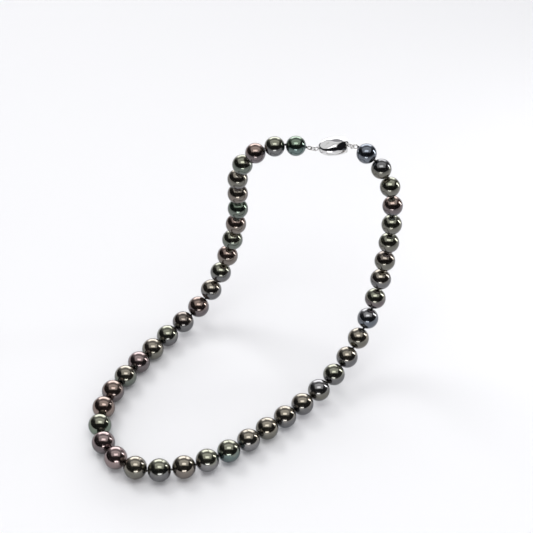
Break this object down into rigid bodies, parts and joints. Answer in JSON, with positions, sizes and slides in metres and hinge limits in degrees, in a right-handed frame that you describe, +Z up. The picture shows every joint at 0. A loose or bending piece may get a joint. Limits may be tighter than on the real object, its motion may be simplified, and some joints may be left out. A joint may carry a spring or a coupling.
{
  "type": "pearl necklace",
  "caption": "Graduated strand of round dark pearls knotted on silk, closed by an olive clasp with a spring tongue, draped over a low stand.",
  "frame": {"origin": "middle of the small flat under the clasp body, which rests on the top of the stand", "axes": "+Z up; +X from the strand on the fixed end of the clasp towards the strand on its tongue; -Y towards the front of the loop"},
  "size_m": [0.1345, 0.1109, 0.1054],
  "materials": {
    "nacre_teal": "dark nacre with a high mirror lustre and a soft overtone",
    "nacre_green": "dark nacre with a high mirror lustre and a soft overtone",
    "nacre_olive": "dark nacre with a high mirror lustre and a soft overtone",
    "nacre_aubergine": "dark nacre with a high mirror lustre and a soft overtone",
    "nacre_bronze": "dark nacre with a high mirror lustre and a soft overtone",
    "nacre_rose": "dark nacre with a high mirror lustre and a soft overtone",
    "nacre_grey": "dark nacre with a high mirror lustre and a soft overtone",
    "nacre_silver": "dark nacre with a high mirror lustre and a soft overtone",
    "silver": "polished white metal",
    "silver_coil": "fine coiled white wire",
    "silk": "dark twisted silk"
  },
  "bodies": {
    "clasp": {"clasp_body": "silver", "tail_eye": "silver", "left_gimp": "silver_coil", "silk_top_left": "silk", "pearl_left_01": "nacre_teal", "pearl_left_02": "nacre_grey", "pearl_left_03": "nacre_aubergine", "pearl_left_04": "nacre_green"},
    "left_ring": {"left_jump_ring": "silver"},
    "fall": {"pearl_left_05": "nacre_olive", "pearl_left_06": "nacre_bronze", "pearl_left_07": "nacre_green", "pearl_left_08": "nacre_bronze", "pearl_left_09": "nacre_green", "pearl_left_10": "nacre_bronze", "pearl_left_11": "nacre_grey", "pearl_left_12": "nacre_grey", "silk_left_drop": "silk", "pearl_right_12": "nacre_grey", "pearl_right_13": "nacre_grey"},
    "right_arm": {"pearl_right_03": "nacre_green", "pearl_right_04": "nacre_aubergine", "pearl_right_05": "nacre_olive", "pearl_right_06": "nacre_olive", "pearl_right_07": "nacre_olive", "pearl_right_08": "nacre_grey", "pearl_right_09": "nacre_aubergine", "pearl_right_10": "nacre_silver", "pearl_right_11": "nacre_olive", "silk_right_arm": "silk"},
    "right_edge": {"tongue_plate": "silver", "right_gimp": "silver_coil", "silk_right_edge": "silk", "pearl_right_01": "nacre_teal", "pearl_right_02": "nacre_olive"},
    "tongue_leaf": {"tongue_leaf": "silver"},
    "right_ring_1": {"right_jump_ring_1": "silver"},
    "right_ring_2": {"right_jump_ring_2": "silver"},
    "front_1": {"pearl_left_13": "nacre_aubergine", "pearl_right_14": "nacre_green"},
    "front_2": {"pearl_left_14": "nacre_grey", "pearl_right_15": "nacre_grey"},
    "front_3": {"pearl_left_15": "nacre_silver", "pearl_right_16": "nacre_silver"},
    "front_4": {"pearl_left_16": "nacre_olive", "pearl_right_17": "nacre_green"},
    "front_5": {"pearl_left_17": "nacre_rose", "pearl_right_18": "nacre_silver"},
    "front_6": {"pearl_left_18": "nacre_silver", "pearl_right_19": "nacre_teal"},
    "front_7": {"pearl_left_19": "nacre_aubergine", "pearl_left_20": "nacre_rose", "pearl_left_21": "nacre_teal", "pearl_left_22": "nacre_rose", "pearl_right_20": "nacre_silver", "pearl_right_21": "nacre_bronze", "pearl_right_22": "nacre_silver", "pearl_right_23": "nacre_bronze", "pearl_right_24": "nacre_rose"}
  },
  "joints": [
    {"name": "fall_fold", "type": "hinge", "parent": "clasp", "child": "fall", "pos_m": [-0.03989, -0.00041, -0.01007], "axis": [-0.9802, 0.1743, -0.0938], "range_deg": [0, 25]},
    {"name": "arm_swing", "type": "hinge", "parent": "fall", "child": "right_arm", "pos_m": [0.01036, -0.03625, -0.08115], "axis": [0, 0, -1], "range_deg": [0, 30]},
    {"name": "right_edge_fold", "type": "hinge", "parent": "right_arm", "child": "right_edge", "pos_m": [0.02315, -0.01163, -0.00404], "axis": [-0.9802, 0.1743, -0.0938], "range_deg": [-25, 0]},
    {"name": "front_fold_1", "type": "hinge", "parent": "fall", "child": "front_1", "pos_m": [-0.05547, -0.0024, -0.08334], "axis": [-0.7436, 0.6655, 0.0645], "range_deg": [0, 9]},
    {"name": "front_fold_2", "type": "hinge", "parent": "front_1", "child": "front_2", "pos_m": [-0.06212, -0.00778, -0.08855], "axis": [-0.7319, 0.6811, 0.0198], "range_deg": [0, 12]},
    {"name": "front_fold_3", "type": "hinge", "parent": "front_2", "child": "front_3", "pos_m": [-0.06934, -0.01446, -0.09082], "axis": [-0.7296, 0.6839, 0.004], "range_deg": [0, 12]},
    {"name": "front_fold_4", "type": "hinge", "parent": "front_3", "child": "front_4", "pos_m": [-0.07587, -0.02216, -0.09191], "axis": [-0.7288, 0.6847, -0.0089], "range_deg": [0, 12]},
    {"name": "front_fold_5", "type": "hinge", "parent": "front_4", "child": "front_5", "pos_m": [-0.08182, -0.03047, -0.09184], "axis": [-0.728, 0.6856, -0.0077], "range_deg": [0, 12]},
    {"name": "front_fold_6", "type": "hinge", "parent": "front_5", "child": "front_6", "pos_m": [-0.08738, -0.0391, -0.09146], "axis": [-0.7264, 0.6872, -0.0024], "range_deg": [0, 12]},
    {"name": "front_fold_7", "type": "hinge", "parent": "front_6", "child": "front_7", "pos_m": [-0.09264, -0.04799, -0.09136], "axis": [-0.7262, 0.6875, -0.0016], "range_deg": [0, 12]},
    {"name": "tongue_press", "type": "hinge", "parent": "right_edge", "child": "tongue_leaf", "pos_m": [-0.00205, -0.00047, 0.0029], "axis": [-0.225, 0.9744, 0], "range_deg": [0, 4.5], "stiffness_Nm_per_rad": 0.05, "springref_deg": -1.15},
    {"name": "left_ring_swing", "type": "hinge", "parent": "clasp", "child": "left_ring", "pos_m": [-0.00822, -0.00174, 0.00344], "axis": [-0.9769, 0.163, 0.138], "range_deg": [-20, 20]},
    {"name": "right_ring_1_swing", "type": "hinge", "parent": "right_edge", "child": "right_ring_1", "pos_m": [0.00809, 0.00063, 0.00278], "axis": [0.395, -0.7351, 0.551], "range_deg": [-20, 20]},
    {"name": "right_ring_2_swing", "type": "hinge", "parent": "right_edge", "child": "right_ring_2", "pos_m": [0.00866, -0.00041, 0.00356], "axis": [0.395, -0.7351, 0.551], "range_deg": [-20, 20]}
  ],
  "couplings": [
    {"joint": "right_edge_fold", "follows": "fall_fold", "ratio": -1}
  ]
}
